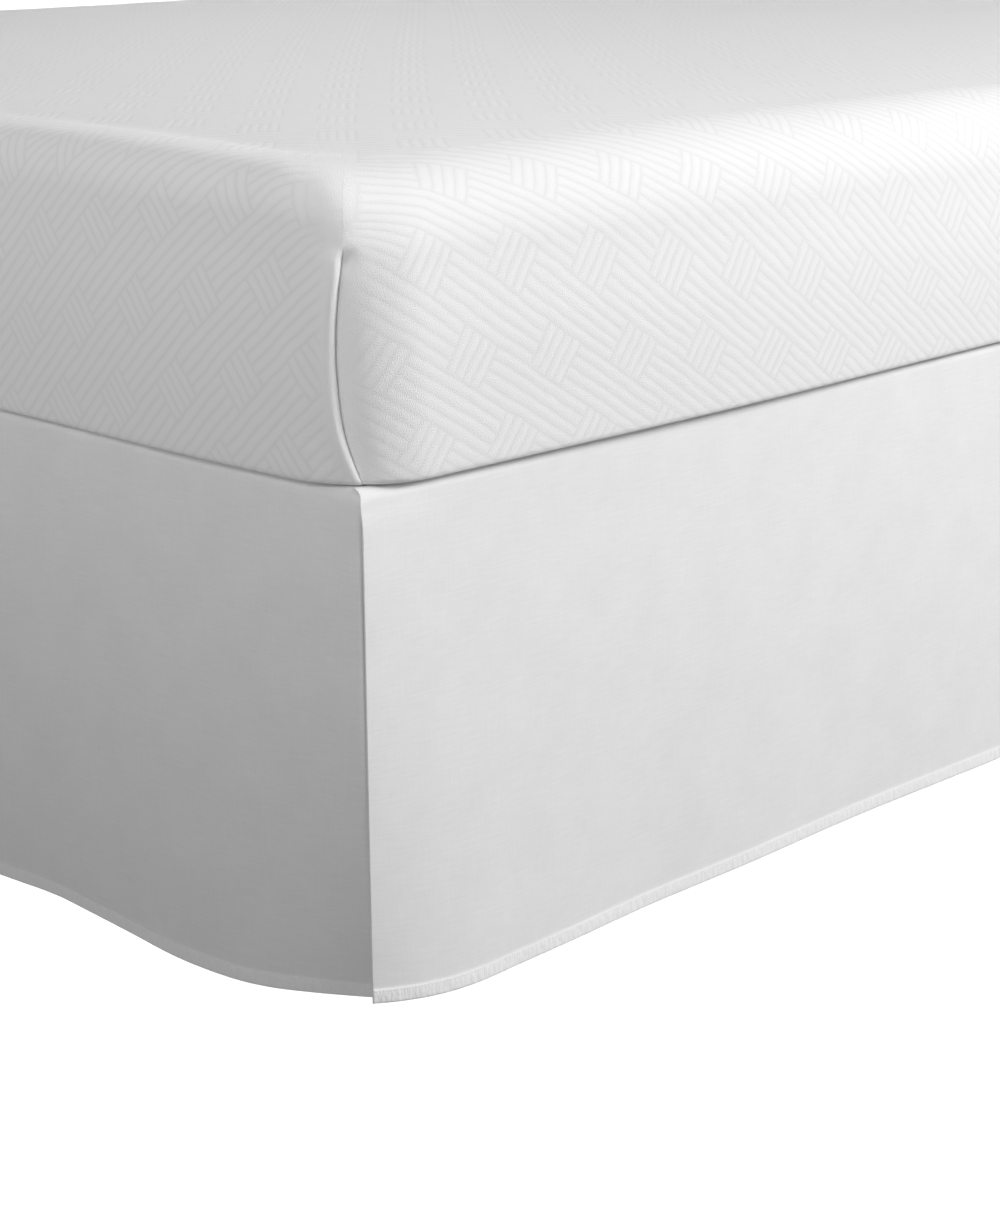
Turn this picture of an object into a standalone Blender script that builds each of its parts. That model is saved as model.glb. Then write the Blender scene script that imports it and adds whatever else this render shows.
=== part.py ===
"""A tailored bed skirt on a plain bed, one solid for each piece.

The skirt is a flat deck held between the mattress and the bed base, and three panels that roll over the
base's top edge and hang to just above the floor. The corners are split: at each foot corner the side panel's
free edge stands in front of the foot panel, which carries on a little way behind it. The head is left open.

Metres, +Z up. X runs across the bed, the foot is at -Y, the head at +Y, and the floor is z = 0.
"""

import collections
import math

import bmesh
import bpy
from mathutils import Matrix, Vector

# ---- The bed ----
BASE_WIDTH = 1.511
BASE_LENGTH = 2.019
BASE_CORNER = 0.012  # radius of the base's upright corners, in plan
BASE_TOP_EDGE = 0.010  # radius of its top edge
BASE_BOTTOM_EDGE = 0.006
LEG_HEIGHT = 0.152
LEG_TOP_RADIUS = 0.030
LEG_FOOT_RADIUS = 0.022
LEG_INSET = 0.100  # from the base's faces to a leg's axis
MATTRESS_HEIGHT = 0.200  # at the inner line of its rounded top edge
MATTRESS_CROWN = 0.014  # how much higher its middle is
MATTRESS_SAG = 0.018  # how much lower its top is at the corners
MATTRESS_SAG_REACH = 0.20  # how far from a corner that shows
MATTRESS_TOP_ROUND = 0.060
MATTRESS_BOTTOM_ROUND = 0.008
MATTRESS_CORNER = 0.060  # radius of its upright corners, in plan
MATTRESS_OVERHANG = 0.012  # how far its side stands out past the base
MATTRESS_BULGE = 0.004  # how much further its side stands out half way up

# ---- The skirt ----
DROP = 0.356  # from the base's top to the hem
HEM_ABOVE_FLOOR = 0.006
CLOTH = 0.0015
HEM_CLOTH = 0.0024  # the doubled cloth of the hem
HEM_DEPTH = 0.011
TURN_IN = 0.025  # the flat strip of each panel that lies on the base
ROLL = 0.008  # radius of the cloth where it turns down
HANG_CLEAR = 0.002  # from the base's face to the back of the cloth, at the top
FLARE = 0.012  # how much further out the hem is
FLARE_CURVE = 1.2  # above 1, more of the flare is low down
SWELL_CURVE = 1.5  # the same for the soft swells
END_RUN = 0.10  # how far from a free edge its lean and its lift show

# ---- The split corners ----
# Everything here grows with the drop. The side panel's free edge stands in front.
TOP_LEAN = 0.006  # its edge starts this far past the corner, and comes upright on the roll
LEAN_FROM = 0.35  # the share of the roll above which it keeps its lean
HEM_LEAN = -0.0070  # how far past the corner its edge is at the hem
LIFT = 0.0018  # how far the panel stands off the foot panel there
LIFT_RUN = 0.04  # the share of the drop in which it comes to that
FREE_BEND = 0.0160  # how far its lower corner curls in
FREE_RISE = 0.010  # and how much it is lifted by that
FREE_RUN = 0.11  # how far from the free edge that shows
BEND_CURVE = 1.5  # above 1, more of it is low down
# The foot panel swings in towards the corner, folds back, and carries on behind the side panel.
SWING = 0.345  # how steeply it swings in, at the hem
SWING_AT = -0.090  # from the corner
SWING_SOFT = 0.025  # half the length of the soft bend there
SWING_CURVE = 2.5  # above 1, more of it is low down: higher up the base is in its way
SWING_RISE = 0.010  # how much the hem is lifted by that
SWING_RISE_RUN = 0.13
# The fold and the lap behind it. Each is given just below the roll and at the hem.
FOLD_AT = (-0.0030, -0.0074)  # from the corner
FOLD_RADIUS = (0.0045, 0.0085)
LAP = (0.0070, 0.0130)
FOLD_RUN = 0.02  # the share of the drop in which the fold closes
LAP_RUN = 0.12  # and in which the lap comes to its length

GAP = 0.0003  # between pieces that lie on each other
SEAM = 0.0006  # between the edges of two panels at a corner

BASE_TOP = HEM_ABOVE_FLOOR + DROP
HALF_WIDTH = BASE_WIDTH / 2
HALF_LENGTH = BASE_LENGTH / 2
DECK_HEIGHT = BASE_TOP + GAP
MATTRESS_BOTTOM = DECK_HEIGHT + CLOTH + GAP
QUARTER_TURN = math.pi / 2

# Soft swells of a panel's hem. Columns: where along it, in metres from its middle (+ is towards +X on the
# foot, towards the head on the right side and towards the foot on the left), how wide, how far out.
SWELLS = {
    "drop_foot": (
        (0.595, 0.065, 0.0080),
        (0.435, 0.045, -0.0040),
        (0.300, 0.090, 0.0035),
        (0.060, 0.150, -0.0020),
        (-0.330, 0.160, 0.0030),
        (-0.590, 0.090, -0.0020),
    ),
    "drop_right": (
        (-0.880, 0.060, -0.0020),
        (-0.740, 0.090, -0.0040),
        (-0.590, 0.060, -0.0008),
        (-0.500, 0.070, -0.0016),
        (-0.230, 0.150, 0.0065),
        (0.150, 0.190, -0.0020),
        (0.620, 0.170, 0.0025),
    ),
    "drop_left": (
        (0.790, 0.110, -0.0020),
        (0.430, 0.150, 0.0030),
        (0.020, 0.180, -0.0020),
        (-0.400, 0.160, 0.0030),
        (-0.800, 0.140, -0.0015),
    ),
}

# How the mattress's sides bow out. Columns: along the bed or across it, where, how wide, how far out.
BOWS = (
    ("along", -0.660, 0.260, 0.0070),
    ("along", 0.500, 0.300, 0.0030),
    ("across", 0.600, 0.120, 0.0040),
    ("across", -0.300, 0.250, 0.0020),
)

# The pinched fold of the mattress's cover at a foot corner. Columns: height above the underside, where it
# runs in degrees round the corner from the foot face, how much of its full depth it has.
FOLD_LINE = (
    (0.000, 46.0, 0.3),
    (0.016, 41.0, 0.8),
    (0.038, 35.0, 1.0),
    (0.075, 31.5, 1.0),
    (0.100, 31.5, 1.0),
    (0.128, 34.5, 0.8),
    (0.143, 41.0, 0.25),
    (0.160, 43.0, 0.0),
    (0.300, 45.0, 0.0),
)
# Across the fold. Columns: degrees round the corner from its line, how far out the cover stands.
FOLD_SHAPE = (
    (-12.0, 0.0),
    (-6.5, 0.0020),
    (-2.5, 0.0032),
    (0.0, 0.0012),
    (1.8, -0.0022),
    (8.0, -0.0012),
    (17.0, 0.0),
)


def ease(x):
    """0 below 0, 1 above 1, and smooth between."""
    x = min(1.0, max(0.0, x))
    return x * x * (3 - 2 * x)


def mix(a, b, share):
    return a + (b - a) * share


def ramp(x, soft):
    """0 far below 0, x far above it, and a soft bend between, 2 * soft long."""
    if abs(x) < soft:
        return (x + soft) ** 2 / (4 * soft)
    return max(0.0, x)


def between(table, x, column):
    """The value of a table's column at x, by straight lines between its rows."""
    for low, high in zip(table, table[1:]):
        if x <= high[0]:
            share = max(0.0, (x - low[0]) / (high[0] - low[0]))
            return low[column] + share * (high[column] - low[column])
    return table[-1][column]


def material(name, colour, roughness, metallic=0.0):
    made = bpy.data.materials.new(name)
    made.use_nodes = True
    shader = made.node_tree.nodes["Principled BSDF"]
    shader.inputs["Base Color"].default_value = (*colour, 1.0)
    shader.inputs["Roughness"].default_value = roughness
    shader.inputs["Metallic"].default_value = metallic
    return made


def add_object(name, bm, finish):
    mesh = bpy.data.meshes.new(name)
    bm.to_mesh(mesh)
    bm.free()
    mesh.materials.append(finish)
    piece = bpy.data.objects.new(name, mesh)
    bpy.context.scene.collection.objects.link(piece)
    return piece


# ---- The skirt's panels ----


# A line across a panel: how far out from the base's face it is, its height, how much of the roll and of the
# drop lies above it, and whether it is in the hem.
Row = collections.namedtuple("Row", "out height roll drop hem")


def cloth_rows():
    """The lines across a panel, from its sewn edge to its hem."""
    roll_middle = HANG_CLEAR - ROLL
    strip = (1.0, 0.4, 0.0)
    rows = [Row(roll_middle - TURN_IN * share, DECK_HEIGHT, 0.0, 0.0, False) for share in strip]
    roll_steps = 4
    for step in range(1, roll_steps + 1):
        turn = QUARTER_TURN * step / roll_steps
        out = roll_middle + ROLL * math.sin(turn)
        height = DECK_HEIGHT - ROLL * (1 - math.cos(turn))
        rows.append(Row(out, height, step / roll_steps, 0.0, False))
    hang_top = DECK_HEIGHT - ROLL
    hang = hang_top - HEM_ABOVE_FLOOR
    hem_top = 1 - HEM_DEPTH / hang
    step_down = 1.5 * CLOTH / hang  # the share of the drop in which the cloth thickens to the hem
    for share in (0.02, 0.06, 0.14, 0.30, 0.48, 0.66, 0.84, hem_top - step_down, hem_top, 1.0):
        rows.append(Row(HANG_CLEAR, hang_top - hang * share, 1.0, share, share >= hem_top))
    return rows


def cloth_columns(half):
    """Places across a panel, in metres from its middle: close together at the corners, wide between."""
    near_end = (0.0, 0.003, 0.006, 0.009, 0.013, 0.018, 0.027, 0.040, 0.055, 0.070, 0.086, 0.104, 0.126)
    wide_step = 0.055
    inner = half - near_end[-1]
    wide = round(2 * inner / wide_step)
    middle = [-inner + 2 * inner * i / wide for i in range(1, wide)]
    return [to_end - half for to_end in near_end] + middle + [half - to_end for to_end in reversed(near_end)]


def edge_past(kind, row):
    """How far a panel's free edge lies past the corner of the base, by the kind of its end."""
    lean = TOP_LEAN * (1 - ease((row.roll - LEAN_FROM) / (1 - LEAN_FROM)))
    if kind == "front":
        return row.out + lean + CLOTH * ease(row.roll) + HEM_LEAN * row.drop**2
    if kind == "behind":
        lap_end = mix(FOLD_AT[0] + LAP[0], FOLD_AT[1] + LAP[1], row.drop)
        return mix(row.out - lean - SEAM, lap_end, ease(row.drop / LAP_RUN))
    return -HANG_CLEAR


def cloth_point(name, half, ends, along, row):
    """(along, out, up) of the back of the cloth. half is half the length of the base's side."""
    side = 1 if along >= 0 else -1
    kind = ends[side]
    to_end = half - abs(along)
    near = 1 - ease(to_end / END_RUN)
    past = abs(along) - half + edge_past(kind, row) * near
    swell = sum(far * math.exp(-(((along - at) / wide) ** 2)) for at, wide, far in SWELLS[name])
    out = row.out + FLARE * row.drop**FLARE_CURVE + swell * row.drop**SWELL_CURVE
    up = row.height
    if kind == "front":
        curl = row.drop**BEND_CURVE * max(0.0, 1 - to_end / FREE_RUN) ** 2
        out += LIFT * ease(row.drop / LIFT_RUN) * near - FREE_BEND * curl
        up += FREE_RISE * curl
    if kind == "behind":
        bend = ease(row.drop / FOLD_RUN) / mix(*FOLD_RADIUS, row.drop**2)
        folded = past - mix(*FOLD_AT, row.drop)
        if folded > 0 and bend > 0:
            past += math.sin(bend * folded) / bend - folded
            out -= (1 - math.cos(bend * folded)) / bend
        out -= SWING * row.drop**SWING_CURVE * ramp(past - SWING_AT, SWING_SOFT)
        up += SWING_RISE * row.drop**BEND_CURVE * min(1.0, max(0.0, 1 + past / SWING_RISE_RUN)) ** 2
    return side * (half + past), out, up


def panel(name, half, face, turned, ends, finish):
    """One hanging panel. half is half the length of the base's side, face its distance from the bed's middle,
    turned the panel's turn about Z, and ends the kind of its -X and +X end before that turn."""
    rows = cloth_rows()
    columns = cloth_columns(half)
    bm = bmesh.new()
    bmesh.ops.create_grid(bm, x_segments=len(columns) - 1, y_segments=len(rows) - 1, size=0.5)
    hem = bm.verts.layers.deform.verify()
    for vertex in bm.verts:
        column = columns[round((vertex.co.x + 0.5) * (len(columns) - 1))]
        row = rows[round((0.5 - vertex.co.y) * (len(rows) - 1))]
        along, out, up = cloth_point(name, half, ends, column, row)
        vertex.co = (along, -face - out, up)
        vertex[hem][0] = 1.0 if row.hem else 0.0
    bmesh.ops.rotate(bm, cent=(0, 0, 0), matrix=Matrix.Rotation(turned, 3, "Z"), verts=bm.verts)
    piece = add_object(name, bm, finish)
    piece.vertex_groups.new(name="hem")
    thicken = piece.modifiers.new("cloth", "SOLIDIFY")
    thicken.thickness = HEM_CLOTH
    thicken.offset = 1.0
    thicken.use_even_offset = True
    thicken.vertex_group = "hem"
    thicken.thickness_vertex_group = CLOTH / HEM_CLOTH
    piece.data.shade_smooth()
    piece.data.set_sharp_from_angle(angle=math.radians(40))
    return piece


def deck(finish):
    """The flat sheet on the base. It meets the panels' strips, and reaches the head between them."""
    strip_edge = ROLL - HANG_CLEAR + TURN_IN + GAP
    corner = 0.004
    x, y = HALF_WIDTH - strip_edge, HALF_LENGTH - strip_edge
    steps = 6
    turns = [QUARTER_TURN * i / steps for i in range(steps + 1)]
    foot = [(x - corner * (1 - math.sin(t)), -y + corner * (1 - math.cos(t))) for t in turns]
    right = [*foot, (x, HALF_LENGTH - BASE_TOP_EDGE)]
    outline = right + [(-px, py) for px, py in reversed(right)]
    bm = bmesh.new()
    face = bm.faces.new([bm.verts.new((px, py, DECK_HEIGHT)) for px, py in outline])
    raised = bmesh.ops.extrude_face_region(bm, geom=[face])["geom"]
    bmesh.ops.translate(bm, vec=(0, 0, CLOTH), verts=[v for v in raised if isinstance(v, bmesh.types.BMVert)])
    bmesh.ops.recalc_face_normals(bm, faces=bm.faces)
    return add_object("deck", bm, finish)


# ---- The bed that it hangs from ----


def base(finish):
    """The plain block that the skirt falls over."""
    height = BASE_TOP - LEG_HEIGHT
    bm = bmesh.new()
    bmesh.ops.create_cube(bm, size=1.0)
    bmesh.ops.scale(bm, vec=(BASE_WIDTH, BASE_LENGTH, height), verts=bm.verts)
    upright = [e for e in bm.edges if abs(e.verts[0].co.z - e.verts[1].co.z) > height / 2]
    corner_steps = 4
    rounding = {"affect": "EDGES", "profile": 0.5, "material": -1}
    bmesh.ops.bevel(bm, geom=upright, offset=BASE_CORNER, segments=corner_steps, **rounding)
    for level, radius, segments in ((1, BASE_TOP_EDGE, 3), (-1, BASE_BOTTOM_EDGE, 1)):
        rim = [e for e in bm.edges if all(abs(v.co.z - level * height / 2) < GAP for v in e.verts)]
        bmesh.ops.bevel(bm, geom=rim, offset=radius, segments=segments, **rounding)
    bmesh.ops.translate(bm, vec=(0, 0, LEG_HEIGHT + height / 2), verts=bm.verts)
    return add_object("bed_base", bm, finish)


def legs(finish):
    """Six plain tapered legs, which share one mesh."""
    height = LEG_HEIGHT - GAP
    bm = bmesh.new()
    bmesh.ops.create_cone(
        bm, cap_ends=True, segments=20, radius1=LEG_FOOT_RADIUS, radius2=LEG_TOP_RADIUS, depth=height
    )
    piece = add_object("leg_1", bm, finish)
    piece.data.shade_smooth()
    piece.data.set_sharp_from_angle(angle=math.radians(40))
    x, y = HALF_WIDTH - LEG_INSET, HALF_LENGTH - LEG_INSET
    for number, (across, along) in enumerate(((-1, -1), (1, -1), (-1, 0), (1, 0), (-1, 1), (1, 1)), 1):
        if number > 1:
            piece = bpy.data.objects.new(f"leg_{number}", piece.data)
            bpy.context.scene.collection.objects.link(piece)
        piece.location = (across * x, along * y, height / 2)


def mattress_rings():
    """(out from the base's faces, height above its underside, corner radius in plan), from below to the top's
    middle."""
    side, low, high = MATTRESS_OVERHANG, MATTRESS_BOTTOM_ROUND, MATTRESS_TOP_ROUND
    rings = []
    for i in range(4):
        turn = QUARTER_TURN * i / 3
        rings.append((side - low + low * math.sin(turn), low * (1 - math.cos(turn))))
    shoulder = MATTRESS_HEIGHT - high
    for share in (0.10, 0.25, 0.42, 0.60, 0.75, 0.88):
        rings.append((side + MATTRESS_BULGE * math.sin(math.pi * share), low + (shoulder - low) * share))
    for i in range(7):
        turn = QUARTER_TURN * i / 6
        rings.append((side - high * (1 - math.cos(turn)), shoulder + high * math.sin(turn)))
    for inset, share in ((0.110, 0.40), (0.230, 0.75), (0.360, 0.94), (0.500, 1.0)):
        rings.append((-inset, MATTRESS_HEIGHT + MATTRESS_CROWN * share))
    widen = 0.3  # inside the side a ring's corner widens by this share of its inset
    return [(out, up, MATTRESS_CORNER + widen * max(0.0, side - out)) for out, up in rings]


def corner_turns(at_foot, up):
    """(turn in degrees from one side of a corner, how far out the cover's fold stands there) down the corner's
    columns."""
    if not at_foot:
        return [(turn, 0.0) for turn in (0.0, 15.0, 30.0, 45.0, 60.0, 75.0, 90.0)]
    line = between(FOLD_LINE, up, 1)
    depth = between(FOLD_LINE, up, 2)
    turns = [(0.0, 0.0), (9.0, 0.0)]
    turns += [(line + across, far * depth) for across, far in FOLD_SHAPE]
    return turns + [(68.0, 0.0), (79.0, 0.0), (90.0, 0.0)]


def mattress_ring(out, up, radius):
    """The vertices of one ring, anticlockwise from the head end of its +X side."""
    x_steps, y_steps = 7, 9
    x, y = HALF_WIDTH + out - radius, HALF_LENGTH + out - radius
    side_starts = ((-x, y + radius), (-x - radius, -y), (x, -y - radius), (x + radius, y))
    ring = []
    for quarter, (across, along) in enumerate(((1, 1), (-1, 1), (-1, -1), (1, -1))):
        turns = corner_turns(along < 0, up)
        if (across, along) == (-1, -1):
            turns = [(90.0 - turn, far) for turn, far in reversed(turns)]
        for turn, far in turns:
            angle = QUARTER_TURN * quarter + math.radians(turn)
            reach = radius + far
            edge_x = across * x + reach * math.cos(angle)
            edge_y = along * y + reach * math.sin(angle)
            ring.append(Vector((edge_x, edge_y, up)))
        steps = x_steps if quarter % 2 == 0 else y_steps
        leaving = ring[-1]
        meeting = Vector((*side_starts[quarter], up))
        ring += [leaving.lerp(meeting, i / steps) for i in range(1, steps)]
    for spot in ring:
        for way, at, wide, far in BOWS:
            place, beyond = (spot.y, spot.x) if way == "along" else (spot.x, spot.y)
            half = HALF_WIDTH if way == "along" else HALF_LENGTH
            share = ease((abs(beyond) - half + MATTRESS_TOP_ROUND) / MATTRESS_TOP_ROUND)
            shift = far * math.exp(-(((place - at) / wide) ** 2)) * share * math.copysign(1, beyond)
            spot += Vector((shift, 0, 0)) if way == "along" else Vector((0, shift, 0))
        away = math.hypot(HALF_WIDTH - abs(spot.x), HALF_LENGTH - abs(spot.y))
        spot.z -= MATTRESS_SAG * (up / MATTRESS_HEIGHT) ** 3 * math.exp(-((away / MATTRESS_SAG_REACH) ** 2))
        spot.z += MATTRESS_BOTTOM
    return ring


def mattress(finish):
    """One filled solid: a tucked bottom edge, a slightly full side, a round top edge and a low crown."""
    rings = [mattress_ring(*ring) for ring in mattress_rings()]
    columns = len(rings[0])
    bm = bmesh.new()
    bmesh.ops.create_grid(bm, x_segments=columns, y_segments=len(rings) - 1, size=0.5)
    for vertex in bm.verts:
        ring = rings[round((vertex.co.y + 0.5) * (len(rings) - 1))]
        vertex.co = ring[round((vertex.co.x + 0.5) * columns) % columns]
    bmesh.ops.remove_doubles(bm, verts=bm.verts, dist=GAP / 10)
    bmesh.ops.holes_fill(bm, edges=[e for e in bm.edges if e.is_boundary], sides=0)
    bmesh.ops.recalc_face_normals(bm, faces=bm.faces)
    piece = add_object("mattress", bm, finish)
    piece.data.shade_smooth()
    return piece


def main():
    for old in list(bpy.data.objects):
        bpy.data.objects.remove(old)
    skirt_cloth = material("skirt_cloth", (0.86, 0.86, 0.87), 0.85)
    deck_cloth = material("deck_cloth", (0.84, 0.84, 0.84), 0.9)
    cover = material("mattress_cover", (0.88, 0.88, 0.88), 0.85)
    ticking = material("base_ticking", (0.80, 0.79, 0.76), 0.9)
    wood = material("leg_wood", (0.30, 0.19, 0.11), 0.5)
    panel("drop_foot", HALF_WIDTH, HALF_LENGTH, 0.0, {-1: "behind", 1: "behind"}, skirt_cloth)
    panel("drop_right", HALF_LENGTH, HALF_WIDTH, QUARTER_TURN, {-1: "front", 1: "free"}, skirt_cloth)
    panel("drop_left", HALF_LENGTH, HALF_WIDTH, -QUARTER_TURN, {-1: "free", 1: "front"}, skirt_cloth)
    deck(deck_cloth)
    base(ticking)
    legs(wood)
    mattress(cover)


main()
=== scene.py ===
# %% [markdown]
# # A tailored bed skirt on a made-up bed
#
# A bed skirt is three cloth panels sewn to a flat sheet. The sheet, called the deck, lies under the mattress, and
# the panels fall over the sides of the bed's base to just above the floor. At the two foot corners they aren't
# joined: the side panel's free edge stands in front, and the foot panel carries on behind it.
#
# The measured solids of the same bed are loaded first, as a frame that never moves. Each soft solid is then
# replaced by a finer piece that follows the same surface. Units are metres, X runs across the bed, the foot is at
# -Y and the floor is z = 0.

# %% Load the frame
import collections
from math import asin, atan2, copysign, cos, exp, hypot, inf, pi, radians, sin, tan

import bmesh
import bpy
from mathutils import Matrix, Vector, noise


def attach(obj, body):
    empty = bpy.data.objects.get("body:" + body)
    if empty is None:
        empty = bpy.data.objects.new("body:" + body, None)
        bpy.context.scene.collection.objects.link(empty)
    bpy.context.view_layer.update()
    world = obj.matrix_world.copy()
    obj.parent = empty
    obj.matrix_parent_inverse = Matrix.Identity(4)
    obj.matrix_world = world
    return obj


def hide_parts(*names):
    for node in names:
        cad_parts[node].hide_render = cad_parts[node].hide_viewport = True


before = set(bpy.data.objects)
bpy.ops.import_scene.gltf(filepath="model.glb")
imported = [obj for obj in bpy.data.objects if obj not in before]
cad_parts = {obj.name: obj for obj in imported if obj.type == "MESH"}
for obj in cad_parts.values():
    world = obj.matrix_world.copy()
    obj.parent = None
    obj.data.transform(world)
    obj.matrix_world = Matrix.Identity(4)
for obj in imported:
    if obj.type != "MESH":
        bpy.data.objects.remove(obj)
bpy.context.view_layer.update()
print("solids:", ", ".join(sorted(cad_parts)))

# %% [markdown]
# ## The sizes that everything hangs on
#
# These are the measures that the solids were made with, so the cloth lands exactly where the solids are.

# %% Sizes of the bed and the skirt
HALF_WIDTH = 1.511 / 2  # of the base
HALF_LENGTH = 2.019 / 2
BASE_TOP = 0.362
BASE_TOP_EDGE = 0.010
GAP = 0.0003  # between pieces that lie on each other
SEAM = 0.0006  # between the edges of two panels at a corner

HEM_ABOVE_FLOOR = 0.006
DROP = BASE_TOP - HEM_ABOVE_FLOOR
CLOTH = 0.0015  # the cloth stands this far out from the surface that it hangs on
HEM_DEPTH = 0.011
TURN_IN = 0.025  # onto the base
ROLL = 0.008  # the radius of the cloth's turn over the base's top edge
HANG_CLEAR = 0.002  # between the base's side and the hanging cloth
FLARE = 0.012  # how far out the hem stands
FLARE_CURVE, SWELL_CURVE = 1.2, 1.5  # above 1, more of it is low down
END_RUN = 0.10  # how far from a panel's end its edge is shaped
DECK_HEIGHT = BASE_TOP + GAP
MATTRESS_BOTTOM = DECK_HEIGHT + CLOTH + GAP
QUARTER_TURN = pi / 2

# Soft swells of a hem. Columns: where along it from its middle, how wide, how far out.
SWELLS = {
    "drop_foot": (
        (0.595, 0.065, 0.008), (0.435, 0.045, -0.004), (0.3, 0.09, 0.0035), (0.06, 0.15, -0.002),
        (-0.33, 0.16, 0.003), (-0.59, 0.09, -0.002),
    ),
    "drop_right": (
        (-0.88, 0.06, -0.002), (-0.74, 0.09, -0.004), (-0.59, 0.06, -0.0008), (-0.5, 0.07, -0.0016),
        (-0.23, 0.15, 0.0065), (0.15, 0.19, -0.002), (0.62, 0.17, 0.0025),
    ),
    "drop_left": (
        (0.79, 0.11, -0.002), (0.43, 0.15, 0.003), (0.02, 0.18, -0.002), (-0.4, 0.16, 0.003),
        (-0.8, 0.14, -0.0015),
    ),
}
print(f"base {2 * HALF_WIDTH:.3f} x {2 * HALF_LENGTH:.3f} m, skirt drop {DROP:.3f} m")


# %% Small helpers: eased steps, tables and new objects
def clamp(x):
    return min(1.0, max(0.0, x))


def ease(x):
    """0 below 0, 1 above 1, and smooth between."""
    x = clamp(x)
    return x * x * (3 - 2 * x)


def bell(x):
    return exp(-(x**2))


def mix(a, b, share):
    return a + (b - a) * share


def ramp(x, soft):
    """0 far below 0, x far above it, and a soft bend between, 2 * soft long."""
    if abs(x) < soft:
        return (x + soft) ** 2 / (4 * soft)
    return max(0.0, x)


def along_curve(table, x, column=1):
    """The value of a table's column at x, on a smooth curve through its rows."""
    if x <= table[0][0]:
        return table[0][column]
    if x >= table[-1][0]:
        return table[-1][column]
    i = next(i for i in range(len(table) - 1) if x <= table[i + 1][0])
    rows = [table[max(i - 1, 0)], table[i], table[i + 1], table[min(i + 2, len(table) - 1)]]
    at = [row[0] for row in rows]
    value = [row[column] for row in rows]
    span = at[2] - at[1]
    leave = (value[2] - value[0]) / (at[2] - at[0]) * span
    arrive = (value[3] - value[1]) / (at[3] - at[1]) * span
    t = (x - at[1]) / span
    return (
        value[1] * (2 * t**3 - 3 * t**2 + 1)
        + leave * (t**3 - 2 * t**2 + t)
        + value[2] * (3 * t**2 - 2 * t**3)
        + arrive * (t**3 - t**2)
    )


def mesh_from(bm, name):
    """The bmesh as the mesh of an object. The bmesh is let go."""
    mesh = bpy.data.meshes.new(name)
    bm.to_mesh(mesh)
    bm.free()
    return mesh


def put(name, data):
    """A new object in the scene, at the origin."""
    placed = bpy.data.objects.new(name, data)
    bpy.context.scene.collection.objects.link(placed)
    return placed


# %% [markdown]
# ## The camera
#
# The camera stands a little above the mattress and looks at the foot corner on the +X side. It is placed from its
# own three directions: right, up and ahead. The lens is long, so the bed's sides run together only a little.

# %% Place the camera
FRAME_HEIGHT = 1222  # pixels, of a frame 1000 wide
FOCAL_PIXELS = 2567.9
CAMERA_TURN = radians(46.659)  # about Z
CAMERA_TILT = radians(16.349)  # below the horizon
CAMERA_AT = Vector((1.8800, -2.0751, 0.7397))
SENSOR = 36.0

sideways = Vector((sin(CAMERA_TURN), cos(CAMERA_TURN), 0))
level = Vector((-cos(CAMERA_TURN), sin(CAMERA_TURN), 0))
ahead = level * cos(CAMERA_TILT) - Vector((0, 0, sin(CAMERA_TILT)))
upward = sideways.cross(ahead)
lens = bpy.data.cameras.new("camera")
lens.sensor_width = SENSOR
lens.lens = SENSOR * FOCAL_PIXELS / FRAME_HEIGHT
lens.clip_start = 0.05
camera = put("camera", lens)
camera.matrix_world = Matrix((sideways, upward, -ahead)).transposed().to_4x4()
camera.location = CAMERA_AT
bpy.context.scene.camera = camera
bpy.context.scene.view_settings.view_transform = "Standard"
print(f"camera at {tuple(round(c, 3) for c in CAMERA_AT)}, lens {lens.lens:.1f} mm")


# %% [markdown]
# ## Floor and light
#
# White cloth on white needs soft light that differs from side to side, so that the two faces of a corner part.
# The sky gives a fifth of it. Three wide lamps light the long side from behind the foot's plane, so the folded
# cloth in the split stays in shade, two light the foot, and one above the bed lights the mattress's top. They all
# stand higher than the mattress, so its lower edge draws a dark line of shade on the skirt. A soft lamp is
# brightest straight ahead. Some look far over the bed, so the skirt stands in the edge of their beams and the light
# on it fades down to the hem. A low lamp behind the bed keeps the head end and the other long side from going grey.
# The floor is white by its own light and throws none on the cloth.

# %% Make the floor, the lamps and the sky
LAMP_SIZE = 1.4
# Square lamps that look over the foot corner. Columns: name, where it stands, how many degrees above the level it
# looks, power in watts.
LAMPS = (
    ("side_key", (3.4, 1.8, 2.0), 30.0, 170.0),
    ("side_high", (3.6, 2.4, 2.4), -26.0, 22.0),
    ("side_fill", (3.2, -0.4, 2.0), 10.0, 39.0),
    ("foot_fill", (0.6, -3.4, 1.2), 62.0, 46.0),
    ("foot_key", (0.6, -3.4, 1.8), 40.0, 51.0),
    ("overhead", (0.0, 0.6, 2.6), -52.9, 4.0),
    ("back_fill", (-3.4, 2.6, 1.0), 0.0, 55.0),
)
SKY_STRENGTH = 0.23

for name, at, lift, power in LAMPS:
    data = bpy.data.lights.new(name, "AREA")
    data.shape, data.size, data.energy = "SQUARE", LAMP_SIZE, power
    placed = put(name, data)
    placed.location = at
    over_corner = Vector((HALF_WIDTH - at[0], -HALF_LENGTH - at[1], 0)).normalized()
    way = over_corner + Vector((0, 0, tan(radians(lift))))
    placed.rotation_euler = way.to_track_quat("-Z", "Y").to_euler()
sky = bpy.data.worlds.new("sky")
sky.use_nodes = True
glow = sky.node_tree.nodes["Background"].inputs
glow["Color"].default_value = (1.0, 1.0, 1.0, 1.0)
glow["Strength"].default_value = SKY_STRENGTH
bpy.context.scene.world = sky

HALF_FLOOR = 15.0
plane = bmesh.new()
bmesh.ops.create_grid(plane, x_segments=1, y_segments=1, size=HALF_FLOOR)
floor = put("floor", mesh_from(plane, "floor"))
floor.visible_diffuse = False
print("floor, lamps and sky are set")

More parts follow.
